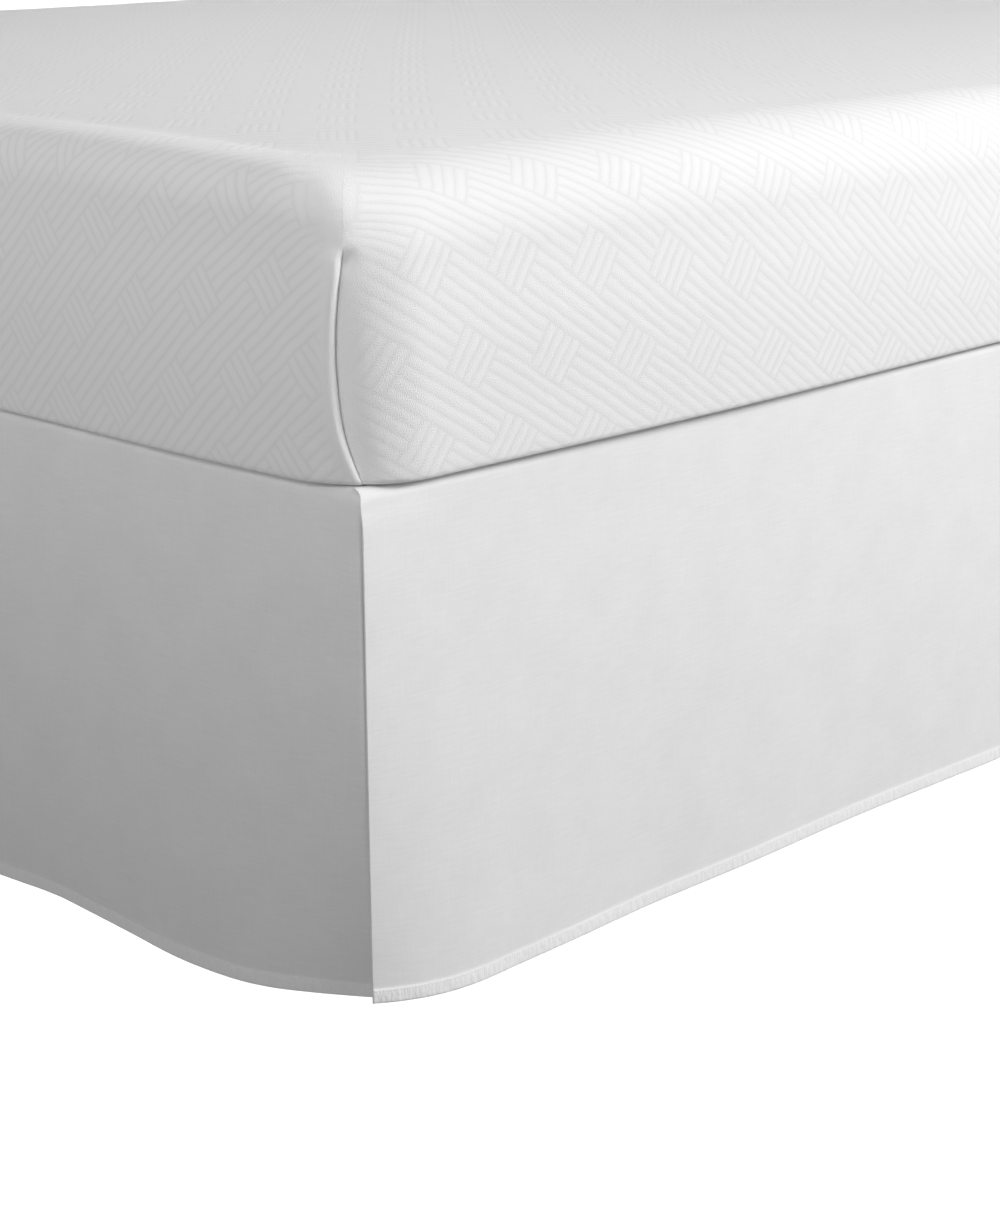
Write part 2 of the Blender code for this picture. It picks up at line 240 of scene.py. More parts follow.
# %% [markdown]
# ## How a panel hangs
#
# Each panel is one strip of cloth with four stretches from its sewn edge down: a flat strip on the base, a roll
# over the base's top edge, the long drop, and a hem of doubled cloth. Towards the hem it stands further out, in
# soft swells. A named tuple keeps what is true all along one line across the panel: `roll` and `drop` are its
# shares of those two, `down` is how far down the cloth it is, and `hem` how far below the hem's top.

# %% Lines across a panel
Row = collections.namedtuple("Row", "out height roll drop down hem")
STRIP_STEPS, ROLL_STEPS, DROP_STEPS = 4, 10, 56
FIRST_LINES = (0.0, 0.0035, 0.007, 0.012, 0.018)  # just below the roll, in metres from it
HEM_CLEAR = 0.003  # from the last even line to the hem's own, which are given by how far below its top they lie
HEM_LINES = (-0.003, -0.0014, -0.0006, 0.0, 0.0005, 0.001, 0.0016, 0.0022, 0.003, 0.0045, 0.0065, 0.0085)
HEM_LINES += (0.0096, 0.0102, 0.0107, 0.011)
STITCH_LINE = 0.0016  # how far below the hem's top the stitches run
HANG_TOP = DECK_HEIGHT - ROLL
HANG = HANG_TOP - HEM_ABOVE_FLOOR
HANG_START = TURN_IN + ROLL * QUARTER_TURN  # how far down the cloth the drop begins


def cloth_rows():
    """The lines across a panel, from its sewn edge to its hem."""
    rows = []
    for step in range(STRIP_STEPS):
        inward = TURN_IN * (1 - step / STRIP_STEPS)
        rows.append(Row(HANG_CLEAR - ROLL - inward, DECK_HEIGHT, 0.0, 0.0, TURN_IN - inward, -1.0))
    for step in range(ROLL_STEPS):
        share = step / ROLL_STEPS
        turn = QUARTER_TURN * share
        out = HANG_CLEAR - ROLL * (1 - sin(turn))
        rows.append(Row(out, DECK_HEIGHT - ROLL * (1 - cos(turn)), share, 0.0, TURN_IN + ROLL * turn, -1.0))
    hem_top = HANG - HEM_DEPTH
    last = hem_top + HEM_LINES[0] - HEM_CLEAR
    even = [mix(FIRST_LINES[-1], last, i / DROP_STEPS) for i in range(DROP_STEPS + 1)]
    for fall in [*FIRST_LINES[:-1], *even, *(hem_top + line for line in HEM_LINES)]:
        rows.append(Row(HANG_CLEAR, HANG_TOP - fall, 1.0, fall / HANG, HANG_START + fall, fall - hem_top))
    return rows


ROWS = cloth_rows()
print(f"{len(ROWS)} lines across a panel, {ROWS[-1].down:.3f} m of cloth from seam to hem")

# %% Places along a panel
COLUMN_STEP = 0.0052
NEAR_END = (0.0, 0.0007, 0.0014, 0.0021, 0.0028, 0.0036, 0.0044, 0.0052, 0.006, 0.0069, 0.0078, 0.0088, 0.0098)
NEAR_END += (0.0109, 0.0121, 0.0134, 0.0148, 0.0164, 0.0183, 0.0206, 0.0234, 0.0268, 0.031)


def cloth_columns(half):
    """Places along a panel, in metres from its middle, closest together where it folds at its ends."""
    inner = half - NEAR_END[-1]
    steps = round(2 * inner / COLUMN_STEP)
    middle = [-inner + 2 * inner * i / steps for i in range(1, steps)]
    return [to_end - half for to_end in NEAR_END] + middle + [half - to_end for to_end in reversed(NEAR_END)]


print("places along the foot panel:", len(cloth_columns(HALF_WIDTH)))


# %% [markdown]
# ## The split corner
#
# Two panels meet at a sharp corner of the base. Both hang flat at the top. Lower down they are free: the side
# panel's lower corner curls in a little, and the foot panel swings in towards the corner, folds back and carries on
# behind the side panel. Each effect is its size at the hem times the share of the drop raised to a power.

# %% The sizes of the split corner
# The side panel, in front.
TOP_LEAN = 0.006  # its edge starts this far past the corner, and comes upright on the roll
LEAN_RUN = (-0.15, 0.70)  # between these shares of the roll it loses its lean
HEM_LEAN = -0.0070  # how far past the corner its edge is at the hem
LIFT = 0.0018  # how far the panel stands off the foot panel there
LIFT_RUN = 0.04  # the share of the drop in which it comes to that
FREE_BEND = 0.0160  # how far its lower corner curls in
FREE_RISE = 0.010  # and how much it is lifted by that
FREE_RUN = 0.11  # how far from the free edge that shows
BEND_CURVE = 1.5
# The foot panel, behind it.
UNDER = 0.0010  # on the roll its edge reaches this far under the side panel's
SWING = 0.345  # how steeply it swings in, at the hem
SWING_AT = -0.090  # from the corner
SWING_SOFT = 0.025  # half the length of the soft bend there
SWING_CURVE = 2.5  # higher up the base is in its way
SWING_RISE = 0.010  # how much the hem is lifted by that
SWING_RISE_RUN = 0.13
# The fold and the lap behind it. Each is given just below the roll and at the hem.
FOLD_AT = (0.0003, -0.0074)  # from the corner
FOLD_RADIUS = (0.0018, 0.0085)
LAP = (0.0070, 0.0130)
FOLD_RUN = 0.02  # the share of the drop in which the fold closes
LAP_RUN = 0.12  # and in which the lap comes to its length


# %% Where a point of the cloth hangs
def fold_at(row):
    """Where the foot panel folds back, from the corner."""
    return mix(*FOLD_AT, row.drop**SWING_CURVE)


def edge_past(kind, row):
    """How far a panel's free edge lies past the corner of the base, by the kind of its end."""
    lean = TOP_LEAN * (1 - ease((row.roll - LEAN_RUN[0]) / (LEAN_RUN[1] - LEAN_RUN[0])))
    if kind == "front":
        return row.out + lean + CLOTH * ease(row.roll) + HEM_LEAN * row.drop**2
    if kind == "behind":
        lap_end = fold_at(row) + mix(*LAP, row.drop)
        return mix(row.out - lean - mix(SEAM, -UNDER, ease(row.roll)), lap_end, ease(row.drop / LAP_RUN))
    return -HANG_CLEAR


def cloth_point(name, half, ends, along, row):
    """(along, out, up) of the surface that the cloth hangs on. half is half the length of the base's side."""
    side = 1 if along >= 0 else -1
    kind = ends[side]
    to_end = half - abs(along)
    near = 1 - ease(to_end / END_RUN)
    past = abs(along) - half + edge_past(kind, row) * near
    swell = sum(far * bell((along - at) / wide) for at, wide, far in SWELLS[name])
    out = row.out + FLARE * row.drop**FLARE_CURVE + swell * row.drop**SWELL_CURVE
    up = row.height
    if kind == "front":
        curl = row.drop**BEND_CURVE * max(0.0, 1 - to_end / FREE_RUN) ** 2
        out += LIFT * ease(row.drop / LIFT_RUN) * near - FREE_BEND * curl
        up += FREE_RISE * curl
    if kind == "behind":
        bend = ease(row.drop / FOLD_RUN) / mix(*FOLD_RADIUS, row.drop**2)
        folded = past - fold_at(row)
        if folded > 0 and bend > 0:
            past += sin(bend * folded) / bend - folded
            out -= (1 - cos(bend * folded)) / bend
        out -= SWING * row.drop**SWING_CURVE * ramp(past - SWING_AT, SWING_SOFT)
        up += SWING_RISE * row.drop**BEND_CURVE * clamp(1 + past / SWING_RISE_RUN) ** 2
    return side * (half + past), out, up


# %% [markdown]
# ## What makes it cloth
#
# Flat cotton isn't perfectly flat. Waves of three sizes are laid over the drop, and at the hem the short puckers
# that a row of stitches pulls in. They are noise with a fixed seed, so the cloth is the same each time. The hem
# itself is a profile: a small ledge at its top, a dip where the stitches pull, a soft swell, and a rounded lower
# edge.

# %% Softness, puckers and the hem's profile
# Columns: how wide the waves are, in metres, and how far out they reach.
WAVES = ((0.24, 0.0011), (0.095, 0.0004), (0.045, 0.00014))
WAVES_RUN = 0.25  # the share of the drop in which they come to their size
AT_EDGE, EDGE_RUN = 0.3, 0.12  # their share at a panel's end, and how far from it they are whole
WIDE_FOR_TALL = 0.7
PUCKER_WIDE, PUCKER_HIGH, PUCKER_OUT, PUCKER_SLANT = 0.013, 0.020, 0.00035, 0.5
PUCKER_RISE = 0.012  # how far above the hem the puckers start
PUCKER_END, PUCKER_FADE = HEM_DEPTH + 0.004, 0.008
# Across the hem. Columns: how far below the hem's top, how far out.
HEM_PROFILE = (
    (-0.0014, 0.0), (-0.0006, 0.0001), (0.0, 0.00055), (0.0005, 0.00084), (0.001, 0.00086), (0.0016, 0.00078),
    (0.0022, 0.00084), (0.003, 0.00092), (0.0065, 0.00095), (0.0096, 0.00088), (0.0102, 0.0006), (0.0107, 0.0),
    (0.011, -0.0009),
)


def softness(seed, along, row, to_end):
    """How far out a point of the cloth stands from its plain surface."""
    free = ease(row.drop / WAVES_RUN) * mix(AT_EDGE, 1.0, ease(to_end / EDGE_RUN))
    out = 0.0
    for wide, far in WAVES:
        out += far * free * noise.noise((along / wide, row.down / wide * WIDE_FOR_TALL, seed + 10 * wide))
    pull = ease((row.hem + PUCKER_RISE) / PUCKER_RISE) * ease((PUCKER_END - row.hem) / PUCKER_FADE)
    slant = along + PUCKER_SLANT * row.hem
    out += PUCKER_OUT * pull * noise.noise((slant / PUCKER_WIDE, row.hem / PUCKER_HIGH, seed))
    return out


# %% [markdown]
# ## The three panels
#
# A hanging panel could be left to a cloth simulation, but then its corner would fall where it likes. So it is
# placed by rule, from a grid, the natural start for a sheet. Each vertex is sent to its place by the rule above and
# pushed out along its normal to the cloth's outer face. The Solidify modifier then gives the sheet its thickness
# inwards, more at the hem than elsewhere: a vertex group says how much. The UV map keeps each point's place in the
# flat cloth, in metres, for the weave.

# %% Make a piece from a bmesh
def add_piece(name, bm, finish):
    """Turns a bmesh into a piece of the object that rides on its one body."""
    piece = put(name, mesh_from(bm, name))
    piece.data.shade_smooth()
    piece.data.materials.append(finish)
    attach(piece, "root")
    return piece


def keep_flat_place(bm, name, place_of):
    """A UV map whose values come from a function of the corner of a face."""
    layer = bm.loops.layers.uv.new(name)
    for face in bm.faces:
        for corner in face.loops:
            corner[layer].uv = place_of(corner)


def thicken(piece, thickness):
    """Gives a sheet its thickness, inwards. Returns the modifier."""
    cloth = piece.modifiers.new("cloth", "SOLIDIFY")
    cloth.thickness = thickness
    cloth.offset = -1.0
    return cloth


# %% Make a panel
PANEL_THICK, HEM_THICK = 0.0009, 0.0018
HEM_FROM, HEM_RUN = -0.0005, 0.0015  # below the hem's top: where the cloth starts to be doubled, and how soon it is


def panel(name, half, face, turned, ends, seed):
    """One hanging panel and its row of stitches, as a bmesh and a list of (place, normal)."""
    columns = cloth_columns(half)
    bm = bmesh.new()
    bmesh.ops.create_grid(bm, x_segments=len(columns) - 1, y_segments=len(ROWS) - 1, size=0.5)
    thick = bm.verts.layers.deform.verify()
    flat = {}
    for vertex in bm.verts:
        along = columns[round((vertex.co.x + 0.5) * (len(columns) - 1))]
        row = ROWS[round((0.5 - vertex.co.y) * (len(ROWS) - 1))]
        flat[vertex] = (along, row)
        sideways_at, out, up = cloth_point(name, half, ends, along, row)
        vertex.co = (sideways_at, -face - out, up)
        vertex[thick][0] = ease((row.hem - HEM_FROM) / HEM_RUN)
    bmesh.ops.rotate(bm, cent=(0, 0, 0), matrix=Matrix.Rotation(turned, 3, "Z"), verts=bm.verts)
    keep_flat_place(bm, "flat_cloth", lambda corner: (flat[corner.vert][0], flat[corner.vert][1].down))
    bm.normal_update()
    normals = {vertex: vertex.normal.copy() for vertex in bm.verts}
    for vertex, (along, row) in flat.items():
        lift = CLOTH + along_curve(HEM_PROFILE, row.hem) + softness(seed, along, row, half - abs(along))
        vertex.co += normals[vertex] * lift
    stitched = min(ROWS, key=lambda row: abs(row.hem - STITCH_LINE))
    line = [vertex for vertex, (_, row) in flat.items() if row is stitched]
    line.sort(key=lambda vertex: flat[vertex][0])
    return bm, [(vertex.co.copy(), normals[vertex]) for vertex in line]


# %% [markdown]
# ## Nodes with less typing
#
# A material is a network of small boxes. A few helpers keep the script readable: one places a node and plugs in
# its inputs, and the others are steps that come again and again. The two effects that make the cloths, the weave
# and the ribs of the quilting, are node groups, built once and placed in each material with its own values.

# %% Helpers for shader nodes
def plug(tree, target, plugs):
    """Fills a node's inputs, given by name or number: a socket is linked, a value is set."""
    for key, value in plugs.items():
        if isinstance(value, bpy.types.NodeSocket):
            tree.links.new(value, target.inputs[key])
        else:
            target.inputs[key].default_value = value


def node(tree, kind, plugs=(), **settings):
    """Places a shader node with its settings and its inputs."""
    made = tree.nodes.new("ShaderNode" + kind)
    for setting, value in settings.items():
        setattr(made, setting, value)
    plug(tree, made, dict(plugs))
    return made


def sums(tree, operation, *values):
    """One step of arithmetic. The result is a socket."""
    return node(tree, "Math", dict(enumerate(values)), operation=operation).outputs[0]


def vectors(tree, operation, *values):
    """One step of arithmetic with vectors."""
    return node(tree, "VectorMath", dict(enumerate(values)), operation=operation).outputs[0]


def streaks(tree, place, drawn, detail=2.0):
    """Noise from 0 to 1 over a place's first two parts, each multiplied by its part of drawn."""
    place = vectors(tree, "MULTIPLY", place, (*drawn, 1.0))
    plugs = {"Vector": place, "Scale": 1.0, "Detail": detail, "Roughness": 0.55}
    return node(tree, "TexNoise", plugs, noise_dimensions="2D").outputs["Fac"]


def between(tree, value, low, high, **settings):
    """0 where the value is low, 1 where it is high."""
    plugs = {"Value": value, "From Min": low, "From Max": high}
    return node(tree, "MapRange", plugs, **settings).outputs[0]


def group(name, inputs, outputs):
    """An empty shader group. Its outputs are numbers. Returns its tree, its input node and its output node."""
    tree = bpy.data.node_groups.new(name, "ShaderNodeTree")
    for socket_name, kind in inputs.items():
        tree.interface.new_socket(socket_name, in_out="INPUT", socket_type=kind)
    for socket_name in outputs:
        tree.interface.new_socket(socket_name, in_out="OUTPUT", socket_type="NodeSocketFloat")
    return tree, tree.nodes.new("NodeGroupInput"), tree.nodes.new("NodeGroupOutput")


# %% [markdown]
# ## Plain weave with slubs
#
# Poplin is the plainest weave: each thread goes over one and under the next. Threads of geometry would be
# millions, so the material draws them. They are half a millimetre apart, and from a step away only their
# unevenness shows, as short fine streaks both ways where a thread is a little thicker. Noise that is drawn out
# along the thread gives those.

# %% Group: plain_weave
SLUB_DRAWN = (45.0, 620.0)  # noise to a metre along a thread and across it
CLOUDS_DRAWN = (22.0, 22.0)
WEFT_SLUBS, WARP_SLUBS = 0.6, 0.4
THREAD_HEIGHT = 0.35  # against the slubs'


def plain_weave():
    inputs = {"Place": "NodeSocketVector", "Threads": "NodeSocketFloat"}
    tree, given, result = group("plain_weave", inputs, ("Height", "Slubs", "Clouds"))
    place = given.outputs["Place"]
    scaled = node(tree, "VectorMath", {0: place, 3: given.outputs["Threads"]}, operation="SCALE").outputs[0]
    x, y, _ = node(tree, "SeparateXYZ", {0: scaled}).outputs
    crossing = sums(tree, "ADD", sums(tree, "FLOOR", x), sums(tree, "FLOOR", y))
    over = sums(tree, "FLOORED_MODULO", crossing, 2.0)
    warp, weft = sums(tree, "PINGPONG", x, 0.5), sums(tree, "PINGPONG", y, 0.5)
    thread = sums(tree, "MULTIPLY_ADD", sums(tree, "SUBTRACT", warp, weft), over, weft)
    weft_slubs, warp_slubs = streaks(tree, place, SLUB_DRAWN), streaks(tree, place, SLUB_DRAWN[::-1])
    slubs = sums(tree, "MULTIPLY_ADD", weft_slubs, WEFT_SLUBS, sums(tree, "MULTIPLY", warp_slubs, WARP_SLUBS))
    clouds = streaks(tree, place, CLOUDS_DRAWN, detail=1.0)
    height = sums(tree, "MULTIPLY_ADD", thread, THREAD_HEIGHT, slubs)
    plug(tree, result, {"Height": height, "Slubs": slubs, "Clouds": clouds})
    return tree


WEAVE = plain_weave()
print("group", WEAVE.name, "has the sockets", ", ".join(item.name for item in WEAVE.interface.items_tree))

# %% [markdown]
# ## Quilting in a basket pattern
#
# The mattress's cover is a double cloth in which soft ribs stand up between fine sunk lines. Blocks of four short
# ribs sit among bands of long ribs, as in a basket. The ribs are very low, so relief in the material shows them as
# well as geometry would. The cover's UV map counts in ribs: first along the long ribs, then
# across them, so a sunk line lies at each whole number. Floor and modulo say which block a point is in, and the
# distance to the nearest line gives the rib its round back. A second output marks the sunk lines, where the cover's
# colour is darkened as painted shade.

# %% Group: basket_ribs
BLOCK = 4.0  # ribs in a block
REPEAT = 16.0  # from one block to the next in the same band, in ribs
WANDER, WANDER_SCALE = 0.35, 0.45  # how far lines stray from their place, in ribs, and how often


def basket_ribs():
    tree, given, result = group("basket_ribs", {"Ribs": "NodeSocketVector"}, ("Height", "Line"))
    place = given.outputs["Ribs"]
    wander = node(tree, "TexNoise", {"Vector": place, "Scale": WANDER_SCALE, "Detail": 1.0})
    shift = vectors(tree, "SUBTRACT", wander.outputs["Color"], (0.5, 0.5, 0.5))
    shifted = vectors(tree, "MULTIPLY_ADD", shift, (WANDER, WANDER, 0.0), place)
    along, across, _ = node(tree, "SeparateXYZ", {0: shifted}).outputs
    band = sums(tree, "FLOOR", sums(tree, "DIVIDE", across, BLOCK))
    odd = sums(tree, "FLOORED_MODULO", band, 2.0)
    in_repeat = sums(tree, "FLOORED_MODULO", sums(tree, "MULTIPLY_ADD", odd, -REPEAT / 2, along), REPEAT)
    short = sums(tree, "LESS_THAN", in_repeat, BLOCK)
    to_band_edge = sums(tree, "PINGPONG", across, BLOCK / 2)
    past_block, to_next = sums(tree, "SUBTRACT", in_repeat, BLOCK), sums(tree, "SUBTRACT", REPEAT, in_repeat)
    to_block = sums(tree, "MAXIMUM", sums(tree, "MINIMUM", past_block, to_next), 0.0)
    in_short = sums(tree, "MINIMUM", sums(tree, "PINGPONG", along, 0.5), to_band_edge)
    in_long = sums(tree, "MINIMUM", sums(tree, "PINGPONG", across, 0.5), to_block)
    to_line = sums(tree, "MULTIPLY_ADD", sums(tree, "SUBTRACT", in_short, in_long), short, in_long)
    from_back = sums(tree, "MULTIPLY_ADD", to_line, -2.0, 1.0)
    sunk = between(tree, from_back, 0.0, 1.0, interpolation_type="SMOOTHSTEP")
    # The second output is 1 on a sunk line and falls off beside it. The cover darkens its colour with it, as
    # painted shade.
    plug(tree, result, {"Height": sums(tree, "SUBTRACT", 1.0, sunk), "Line": sums(tree, "POWER", from_back, 3.0)})
    return tree


RIBS = basket_ribs()
print("group", RIBS.name, "counts", BLOCK, "ribs to a block")


# %% Start a material
SHINE = 0.25  # cloth and stained wood shine less than the shader's own 0.5


def material(name, colour, roughness, sheen=0.0):
    """An empty material. Returns it with its tree and its Principled shader."""
    made = bpy.data.materials.new(name)
    made.use_nodes = True
    tree = made.node_tree
    shader = tree.nodes["Principled BSDF"]
    plug(tree, shader, {"Base Color": colour, "Roughness": roughness})
    plug(tree, shader, {"Sheen Weight": sheen, "Specular IOR Level": SHINE})
    return made, tree, shader


def between_colours(tree, share, dark, light):
    """A colour that goes from dark to light as share goes from 0 to 1."""
    return node(tree, "Mix", {0: share, 6: dark, 7: light}, data_type="RGBA").outputs[2]


def grey(value):
    return (value, value, value, 1.0)


def dress(tree, shader, colour, height, relief, strength=1.0):
    """Gives a shader its colour and, through a Bump node, its relief, in metres."""
    bump = node(tree, "Bump", {"Height": height, "Distance": relief, "Strength": strength})
    plug(tree, shader, {"Base Color": colour, "Normal": bump.outputs["Normal"]})


# %% [markdown]
# ## The skirt's cloth
# In the hem the colour also follows the puckers, as their painted light and shade.
#
# White poplin, a little lighter in the hem, where nothing of the dark under the bed comes through its two layers.
# One UV map, the place in the flat cloth in metres, serves all of it, so the threads follow the cloth round each
# corner.

# %% Material: skirt cloth and its thread
HEM_TOP = ROWS[-1].down - HEM_DEPTH
THREADS = 2000.0  # threads to a metre
THREAD_RELIEF = 0.00006  # metres
# The hem's colour carries the puckers' painted light and shade over the doubled cloth's lighter tone.
HEM_MASK = (HEM_TOP - 0.0002, HEM_TOP + 0.0006)  # the hem's own colour comes in between these
PUCKER_DRAWN = (260.0, 110.0)
PUCKER_HEIGHT, CLOUD_HEIGHT = 12.0, 3.0  # against the weave's
CLOUD_TONE, SLUB_TONE = 0.3, 0.7


def skirt_cloth():
    made, tree, shader = material("skirt_cloth", grey(0.80), 0.85, sheen=0.12)
    place = node(tree, "UVMap", uv_map="flat_cloth").outputs["UV"]
    weave = node(tree, "Group", {"Place": place, "Threads": THREADS}, node_tree=WEAVE)
    clouds, slubs = weave.outputs["Clouds"], weave.outputs["Slubs"]
    down = node(tree, "SeparateXYZ", {0: place}).outputs[1]
    in_hem = between(tree, down, *HEM_MASK, interpolation_type="SMOOTHSTEP")
    tone = sums(tree, "MULTIPLY_ADD", clouds, CLOUD_TONE, sums(tree, "MULTIPLY", slubs, SLUB_TONE))
    single = between_colours(tree, tone, grey(0.695), grey(0.84))
    # In the hem the colour is lighter where the puckers stand out. This is painted light and shade of the puckers,
    # laid over the doubled cloth's lighter tone.
    pucker = streaks(tree, place, PUCKER_DRAWN)
    hem_tone_and_pucker_shade = between_colours(tree, pucker, grey(0.82), grey(0.895))
    colour = between_colours(tree, in_hem, single, hem_tone_and_pucker_shade)
    puckered = sums(tree, "MULTIPLY", pucker, in_hem)
    height = sums(tree, "MULTIPLY_ADD", puckered, PUCKER_HEIGHT, weave.outputs["Height"])
    height = sums(tree, "MULTIPLY_ADD", clouds, CLOUD_HEIGHT, height)
    dress(tree, shader, colour, height, THREAD_RELIEF)
    return made


SKIRT_CLOTH = skirt_cloth()
THREAD, _, _ = material("stitch_thread", grey(0.90), 0.6, sheen=0.1)
print("cloth", SKIRT_CLOTH.name, "and thread", THREAD.name)


# %% [markdown]
# ## The mattress's cover, the base's ticking and the legs' wood
#
# The cover takes its ribs from the second node group, and its colour is darkened along the sunk lines and with the
# knit, as painted shade of their relief. The ticking and the deck's cotton are the same plain weave
# with coarser threads, placed by Object coordinates because nothing of them is bent. The legs are stained wood:
# noise drawn out along the leg gives the grain, and the stain is darker in the pores.

# %% Materials: mattress cover, deck cotton, base ticking and leg wood
RIB_RELIEF = 0.00013  # metres, from a sunk line to the back of a rib
KNIT_DRAWN, KNIT_HEIGHT = (9.0, 14.0), 4.5  # the fine knit: to a rib, along and across, and against a rib's back
# Painted shade: the cover's colour is darkened with the knit's fine relief and along the sunk lines.
KNIT_SHADE, LINE_SHADE, TONE_START = 0.95, 0.85, -0.32  # how much the knit and the lines darken the cover
COTTON_RELIEF = 0.00015
GRAIN_RELIEF = 0.0002
GRAIN_DRAWN = (260.0, 260.0, 9.0)  # the noise is drawn out along the leg
GRAIN_RANGE = (0.35, 0.65)


def mattress_cover():
    made, tree, shader = material("mattress_cover", grey(0.86), 0.8, sheen=0.15)
    place = node(tree, "UVMap", uv_map="ribs").outputs["UV"]
    ribs = node(tree, "Group", {"Ribs": place}, node_tree=RIBS)
    calm = node(tree, "Attribute", attribute_name="relief").outputs["Fac"]
    line = sums(tree, "MULTIPLY", ribs.outputs["Line"], calm)
    knit = streaks(tree, place, KNIT_DRAWN, detail=3.0)
    # Painted shade: the colour is darkened along the sunk lines and with the knit's fine relief.
    tone = sums(tree, "MULTIPLY_ADD", knit, KNIT_SHADE, sums(tree, "MULTIPLY_ADD", line, LINE_SHADE, TONE_START))
    colour = between_colours(tree, tone, grey(0.896), grey(0.804))
    height = sums(tree, "MULTIPLY_ADD", knit, KNIT_HEIGHT, sums(tree, "MULTIPLY", ribs.outputs["Height"], calm))
    dress(tree, shader, colour, height, RIB_RELIEF)
    return made


def plain_cotton(name, dark, light, roughness, threads):
    made, tree, shader = material(name, light, roughness, sheen=0.1)
    place = node(tree, "TexCoord").outputs["Object"]
    x, y, z = node(tree, "SeparateXYZ", {0: place}).outputs
    flat = node(tree, "CombineXYZ", {0: sums(tree, "ADD", x, y), 1: sums(tree, "ADD", z, y)}).outputs[0]
    weave = node(tree, "Group", {"Place": flat, "Threads": threads}, node_tree=WEAVE)
    colour = between_colours(tree, weave.outputs["Slubs"], dark, light)
    dress(tree, shader, colour, weave.outputs["Height"], COTTON_RELIEF)
    return made


def leg_wood():
    made, tree, shader = material("leg_wood", (0.16, 0.09, 0.05, 1.0), 0.45)
    place = node(tree, "TexCoord").outputs["Object"]
    along = vectors(tree, "MULTIPLY", place, GRAIN_DRAWN)
    grain = node(tree, "TexNoise", {"Vector": along, "Scale": 1.0, "Detail": 4.0}).outputs["Fac"]
    grain = between(tree, grain, *GRAIN_RANGE)
    colour = between_colours(tree, grain, (0.10, 0.055, 0.03, 1.0), (0.24, 0.14, 0.08, 1.0))
    plug(tree, shader, {"Roughness": sums(tree, "MULTIPLY_ADD", grain, -0.15, 0.5)})
    dress(tree, shader, colour, grain, GRAIN_RELIEF, strength=0.6)
    return made


COVER = mattress_cover()
DECK_COTTON = plain_cotton("deck_cotton", grey(0.76), grey(0.83), 0.9, 1600.0)
TICKING = plain_cotton("base_ticking", (0.70, 0.69, 0.66, 1.0), (0.79, 0.78, 0.75, 1.0), 0.9, 900.0)
LEG_WOOD = leg_wood()
print("finishes:", ", ".join(m.name for m in (COVER, DECK_COTTON, TICKING, LEG_WOOD)))

# %% Material: the floor, which is white by its own light
floor_finish, floor_tree, floor_shader = material("floor", grey(0.9), 0.9)
plug(floor_tree, floor_shader, {"Emission Color": grey(1.0), "Emission Strength": 1.1})
floor.data.materials.append(floor_finish)
print("floor gets", floor_finish.name)

# %% [markdown]
# ## The panels are hung and hemmed
#
# The hem is held by one row of machine stitches. A curve with a bevel could draw them as one thread, but what shows
# is a row of small beads, each sunk a little at its ends. So one flattened ball is placed for each stitch, turned
# to lie along the cloth. The three panels differ only in their length, their turn and the kinds of their two ends.

# %% Cut and hang the panels
# For each: half its length, how far its side of the base is from the middle, its turn, its ends, its waves' seed.
PANELS = {
    "drop_foot": (HALF_WIDTH, HALF_LENGTH, 0.0, {-1: "behind", 1: "behind"}, 11.0),
    "drop_right": (HALF_LENGTH, HALF_WIDTH, QUARTER_TURN, {-1: "front", 1: "free"}, 37.0),
    "drop_left": (HALF_LENGTH, HALF_WIDTH, -QUARTER_TURN, {-1: "free", 1: "front"}, 59.0),
}
STITCH_GAP = 0.0028  # from one stitch to the next
STITCH_HALF = (0.0011, 0.00025, 0.00018)  # half the length, width and height of a stitch


def stitch_row(line):
    """A bmesh with one small bead for each stitch, along a list of (place, normal)."""
    bm = bmesh.new()
    gone, due = 0.0, STITCH_GAP
    for (start, out), (stop, _) in zip(line, line[1:]):
        step = (stop - start).length
        while due <= gone + step:
            at = start.lerp(stop, (due - gone) / step)
            length = (stop - start).normalized()
            axes = (length, out.cross(length), out)
            bead = Matrix([axis * half for axis, half in zip(axes, STITCH_HALF)]).transposed().to_4x4()
            bead.translation = at
            bmesh.ops.create_icosphere(bm, subdivisions=1, radius=1.0, matrix=bead)
            due += STITCH_GAP
        gone += step
    return bm


for panel_name, cut in PANELS.items():
    sheet_mesh, stitched = panel(panel_name, *cut)
    hung = add_piece(panel_name.replace("drop", "panel"), sheet_mesh, SKIRT_CLOTH)
    hung.vertex_groups.new(name="hem")
    cloth = thicken(hung, HEM_THICK)
    cloth.vertex_group = "hem"
    cloth.thickness_vertex_group = PANEL_THICK / HEM_THICK
    stitches = add_piece(panel_name.replace("drop", "stitches"), stitch_row(stitched), THREAD)
    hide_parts(panel_name)

# %% [markdown]
# ## The deck
#
# The deck is the sheet that the mattress holds down. Only its edge at the open head end can be seen, so it needs no
# creases: it is one flat outline, filled, and thickened like the panels.

# %% Make the deck
DECK_CORNER, DECK_CORNER_STEPS = 0.004, 6


